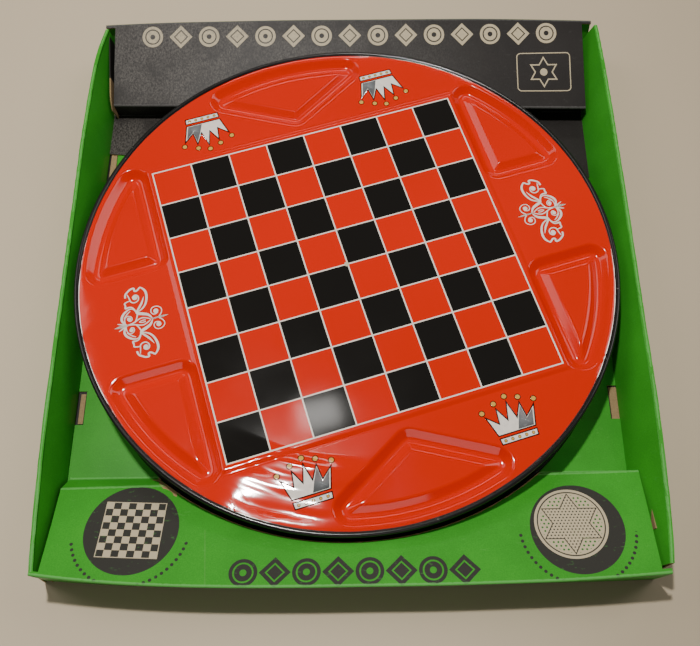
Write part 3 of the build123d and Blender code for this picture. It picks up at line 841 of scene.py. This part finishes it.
def makeSideWall(name, side, node):
    rows = bendPath(list(zip(walls["path"], walls["rows"])), walls["bend"], walls["bendSteps"])
    innerFoot = walls["path"][-1][0]
    bm = bmesh.new()
    bmesh.ops.create_grid(bm, x_segments=walls["columns"], y_segments=len(rows) - 1, size=1)
    foldLayer = bm.verts.layers.float.new("fold")
    for v in bm.verts:
        along, row = v.co.x, round((v.co.y + 1) / 2 * (len(rows) - 1))
        spot, fold = rows[row]
        v[foldLayer] = fold
        lift = spot.y / walls["height"]
        out, slope, far, near = walls["lean"][side]
        bow = out + slope * along - far * max(along, 0) ** 4 - near * max(-along, 0) ** 4
        wave = noise.noise(Vector((along * 3, side * 2, 1))) * walls["wave"]
        y = along * walls["half"] + walls["near"] * max(-along, 0) ** 3
        pinched = max(along - walls["pinchFrom"], 0) / (1 - walls["pinchFrom"])
        bow -= walls["pinch"][side] * pinched ** 2
        inner = (footLine(side, along) - innerFoot) * (1 - lift) - walls["sag"] * sin(pi * lift)
        inner *= row > len(rows) / 2  # the sheet's second half is its inner layer
        v.co = (side * (spot.x + inner + (bow + wave) * lift), y, spot.y)
    bmesh.ops.recalc_face_normals(bm, faces=bm.faces)
    outer = max(bm.faces, key=lambda f: abs(f.calc_center_median().x))
    if outer.normal.x * side < 0:
        bmesh.ops.reverse_faces(bm, faces=bm.faces)
    piece = newObject(name, bm, [greenPaint, kraftPaint], "tray", [node], 40)
    modify(piece, "SOLIDIFY", thickness=card["thickness"] * mm, offset=0, material_offset_rim=1)
    settle(piece)


makeSideWall("leftSideWall", -1, "left_side_wall")
makeSideWall("rightSideWall", 1, "right_side_wall")
print("side walls made")

# tray floor with its slots, and the lock tabs in them
floorCard = {"outline": ((-168.2, -178.6), (0, -187.6), (171.7, -186.6), (171.7, 187.4), (0, 189.4),
                         (-171.7, 187.4)),
             # left, right, near and far edges
             "slots": ((-167.3, -162.0, -91.0, -69.4), (-167.3, -161.4, 84.0, 109.0),
                       (160.1, 167.0, -94.2, -69.8), (161.0, 167.2, 84.0, 108.0)),
             # the tabs' bottom and top; below the bottom a black box of painted shade fills each slot
             "tabLevels": (0.2, 0.9),
             "tabs": ((-165.4, -162.4, -90.4, -71.2), (-165.7, -161.8, 84.8, 108.4),
                      (160.8, 166.2, -93.6, -70.9), (162.0, 166.4, 84.8, 107.4))}


def makeTrayFloor():
    loops = [[Vector(spot) for spot in floorCard["outline"]]]
    for left, right, low, high in floorCard["slots"]:
        loops.append([Vector(c) for c in ((left, low), (right, low), (right, high), (left, high))])
    bm, _ = cutSheet(loops, card["thickness"])
    faceUp(bm)
    piece = newObject("trayFloor", bm, [greenPaint, kraftPaint], "tray", ["tray_floor"])
    modify(piece, "SOLIDIFY", thickness=card["thickness"] * mm, offset=-1, material_offset_rim=1)
    settle(piece)


def makeLockTabs(name, side, node):  # kraft tabs of the side wall, each over a black box in its slot: painted shade for the dark beneath the floor
    bm = bmesh.new()
    tabBottom, tabTop = floorCard["tabLevels"]
    # the black boxes below the tabs are painted shade, standing in for the darkness under the floor
    for boxes, low, high, paint in ((floorCard["slots"], 0.0, tabBottom, 1),
                                    (floorCard["tabs"], tabBottom, tabTop, 0)):
        for left, right, near, far in boxes:
            if left * side > 0:
                middle = ((left + right) / 2, (near + far) / 2, (low + high) / 2)
                box = bmesh.ops.create_cube(bm, size=1)["verts"]
                bmesh.ops.scale(bm, vec=(right - left, far - near, high - low), verts=box)
                bmesh.ops.translate(bm, vec=middle, verts=box)
                for f in {f for v in box for f in v.link_faces}:
                    f.material_index = paint
    newObject(name, bm, [kraftPaint, blackPaint], "tray", [node], 40)


# gussets at the corners: they lean outwards from the foot to the top, and rise towards the end wall
gussets = {"nearLeft": {"side": -1, "end": -1, "span": (134.5, 178.0), "foot": 164.5,
                        "top": (165.2, 167.0), "height": (11.0, 20.0), "kraft": 0.0},
           "nearRight": {"side": 1, "end": -1, "span": (131.0, 163.5), "foot": 165.6,
                         "top": (171.2, 170.6), "height": (17.0, 25.0), "kraft": 1.0},
           "farLeft": {"side": -1, "end": 1, "span": (137.3, 187.5), "foot": 163.8,
                       "top": (166.0, 168.6), "height": (16.5, 30.0), "kraft": 0.4},
           "farRight": {"side": 1, "end": 1, "span": (143.0, 184.0), "foot": 165.6,
                        "top": (167.0, 168.0), "height": (8.0, 14.0), "kraft": 0.0},
           "bottom": 1.2, "sheet": 0.8, "cells": (20, 4)}


def makeGusset(corner, paint, node):
    own = gussets[corner]
    bm = bmesh.new()
    across, rise = gussets["cells"]
    bmesh.ops.create_grid(bm, x_segments=across, y_segments=rise, size=1)
    near, far = own["span"]
    for v in bm.verts:
        along, up = (v.co.x + 1) / 2, (v.co.y + 1) / 2
        top = own["top"][0] + (own["top"][1] - own["top"][0]) * along
        height = own["height"][0] + (own["height"][1] - own["height"][0]) * along
        height *= 1 - 0.3 * max(1 - along * 6, 0) ** 2  # its first corner is cut away
        v.co = (own["side"] * (own["foot"] + (top - own["foot"]) * up),
                own["end"] * (near + (far - near) * along),
                gussets["bottom"] + (height - gussets["bottom"]) * up)
    for f in bm.faces:
        place = (abs(f.calc_center_median().y) - near) / (far - near)
        f.material_index = int(place > own["kraft"])
    bmesh.ops.recalc_face_normals(bm, faces=bm.faces)
    piece = newObject(corner + "Gusset", bm, [kraftPaint, paint], "tray", [node])
    modify(piece, "SOLIDIFY", thickness=gussets["sheet"] * mm, offset=0)
    settle(piece)


makeTrayFloor()
makeLockTabs("leftLockTabs", -1, "left_lock_tabs")
makeLockTabs("rightLockTabs", 1, "right_lock_tabs")
makeGusset("nearLeft", greenPaint, "near_left_gusset")
makeGusset("nearRight", kraftPaint, "near_right_gusset")
makeGusset("farLeft", blackPaint, "far_left_gusset")
makeGusset("farRight", blackPaint, "far_right_gusset")
print("tray floor, lock tabs and gussets made")

# the other face, with a star of dimples: what is printed follows the dimples' grid
star = {"pitch": 19.0, "tip": 72.5, "edge": 0.7, "margin": 2, "ringFrom": 160, "ringTo": 163,
        # the grid's lines, in rows, and where the waves give a dimple's plate and its outline
        "gridLine": 0.022, "plate": (0.12, 0.42),
        "ground": (0.60, 0.020, 0.002), "field": (0.80, 0.66, 0.38),
        "line": (0.02, 0.018, 0.016), "ring": (0.80, 0.66, 0.38),
        "points": ((0.55, 0.016, 0.004), (0.012, 0.05, 0.36), (0.018, 0.22, 0.04), (0.80, 0.45, 0.02),
                   (0.86, 0.82, 0.74), (0.022, 0.020, 0.020))}


def makeStarPaint():
    paint, shader, place = newPaint("starPrintedTin")
    local = place.node("Mapping", {"Vector": place, "Rotation": (0, 0, -boardTurn)})
    x, y, _ = local.axes()
    colour = (length(x, y) < star["ringFrom"]).mix(star["ring"], star["ground"])
    colour = (length(x, y) < star["ringTo"]).mix(star["ground"], colour)
    sector = (y.math("ARCTAN2", x) / pi * 3 + 6.5).math("MODULO", 6).math("FLOOR")
    inside = starShape(y, x, star["tip"])
    for index, tint in enumerate(star["points"]):
        colour = (inside & (abs(sector - index) < 0.5)).mix(colour, tint)
    up, down = triangles(y, x)
    colour = ((up | down) < star["tip"]).mix(colour, star["field"])
    colour = (inside & ~starShape(y, x, star["tip"] - star["edge"])).mix(colour, star["line"])
    row = star["pitch"] * sin60
    lines = (x / row).math("PINGPONG", 0.5)
    for way in (1, -1):
        lines = lines & ((x * 0.5 + y * (sin60 * way)) / row).math("PINGPONG", 0.5)
    colour = (inside & (lines < star["gridLine"])).mix(colour, star["line"])
    waves = gridWaves(y, x, star["pitch"])
    within = starShape(y, x, star["tip"] - star["margin"])
    plate = within & (waves > star["plate"][0])
    colour = plate.mix(colour, star["field"])
    colour = (plate & (waves < star["plate"][1])).mix(colour, star["line"])
    haze = place.noise(25, 3.0).rise(0.35, 0.75) * 0.04
    dress(shader, Base_Color=colour, Roughness=0.1 + haze, Normal=bump(place.noise(8, 1.0) * 0.00025))
    return paint


def makePlasticPaint(name, colour):
    paint, shader, place = newPaint(name)
    worn = place.noise(700, 3.0).rise(0.45, 0.7)
    dress(shader, Base_Color=worn.mix(colour, tuple(c * 0.85 + 0.01 for c in colour)),
          Roughness=0.22 + worn * 0.12, Normal=bump(place.noise(900, 2.0) * 0.00002))
    return paint


def makeGlassPaint(name, colour, swirl):
    paint, shader, place = newPaint(name)
    band = place.noise(180, 1.5, 0.4, stretch=(1, 1, 0.4)).rise(0.52, 0.60)
    dress(shader, Base_Color=band.mix(colour, swirl), Roughness=0.04, Coat_Weight=0.6)
    return paint


def makeSteelPaint():
    paint, shader, place = newPaint("platedSteel")
    dull = place.noise(300, 3.0)
    dress(shader, Base_Color=dull.mix((0.50, 0.49, 0.47), (0.66, 0.65, 0.62)), Metallic=1.0,
          Roughness=0.24 + dull * 0.16)
    return paint


repaint("star_face", makeStarPaint())
for node in ("hatch_leaf", "hatch_door"):
    repaint(node, enamelPaint)
steelPaint = makeSteelPaint()
for node in ("hatch_pin", "hatch_rivets"):
    repaint(node, steelPaint)
repaint("red_checkers", makePlasticPaint("redPlastic", (0.52, 0.016, 0.010)))
repaint("black_checkers", makePlasticPaint("blackPlastic", (0.014, 0.013, 0.013)))
for colour, tint, swirl in (("red", (0.50, 0.010, 0.010), (0.62, 0.10, 0.05)),
                            ("blue", (0.010, 0.045, 0.40), (0.06, 0.20, 0.60)),
                            ("green", (0.010, 0.20, 0.035), (0.10, 0.42, 0.12)),
                            ("yellow", (0.75, 0.42, 0.02), (0.85, 0.62, 0.20)),
                            ("white", (0.82, 0.82, 0.78), (0.62, 0.66, 0.68)),
                            ("black", (0.012, 0.012, 0.014), (0.05, 0.05, 0.06))):
    repaint(colour + "_marbles", makeGlassPaint(colour + "Glass", tint, swirl))
print("star face, hatch and playing pieces painted")

# floor, light and air
room = {"floor": (0.62, 0.51, 0.365), "floorPaintedShade": (0.39, 0.32, 0.22), "half": 3,
        # each lamp's place and size in metres, and its power
        "lamps": {"lamp": ((-0.190, 0.205, 1.5), (0.09, 0.06), 18.5),
                  "soft": ((-0.130, 0.580, 2.0), (0.12, 0.08), 0.3),
                  "far": ((0.1, 2.3, 1.8), (1.6, 0.25), 8),
                  "right": ((1.5, 0.7, 1.7), (0.9, 1.2), 9),
                  "left": ((-1.5, 0.7, 1.7), (0.9, 1.2), 8),
                  "front": ((0.1, -2.0, 1.4), (1.6, 0.5), 4)},
        "lampColour": (1.0, 0.97, 0.92), "air": (0.42, 0.40, 0.37), "airStrength": 0.19}


def makeRoom():
    bm = bmesh.new()
    bmesh.ops.create_grid(bm, x_segments=1, y_segments=1, size=room["half"])
    mesh = bpy.data.meshes.new("floor")
    bm.to_mesh(mesh)
    bm.free()
    floor = bpy.data.objects.new("floor", mesh)
    bpy.context.collection.objects.link(floor)
    paint, shader, place = newPaint("paleFloor")
    x, y, _ = place.axes()
    # darker towards the right and most towards the near right: painted shade for the lamps' falloff, over
    # a little random tone
    tone = place.noise(7, 2.0) * 0.1 + x.rise(-60, 330) * 0.5 + (x - y * 0.8).rise(200, 560) * 0.7
    dress(shader, Base_Color=tone.mix(room["floor"], room["floorPaintedShade"]), Roughness=0.6)
    mesh.materials.append(paint)
    for name, (spot, size, power) in room["lamps"].items():
        lamp = bpy.data.lights.new(name, "AREA")
        lamp.shape, lamp.energy = "RECTANGLE", power
        lamp.size, lamp.size_y = size
        lamp.color = room["lampColour"]
        holder = bpy.data.objects.new(name, lamp)
        holder.location = spot
        holder.rotation_euler = Vector(spot).to_track_quat("Z", "Y").to_euler()
        bpy.context.collection.objects.link(holder)
    world = bpy.data.worlds.new("air")
    bpy.context.scene.world = world
    world.use_nodes = True
    air = world.node_tree.nodes["Background"]
    air.inputs["Color"].default_value = (*room["air"], 1)
    air.inputs["Strength"].default_value = room["airStrength"]


makeRoom()
print("room made")
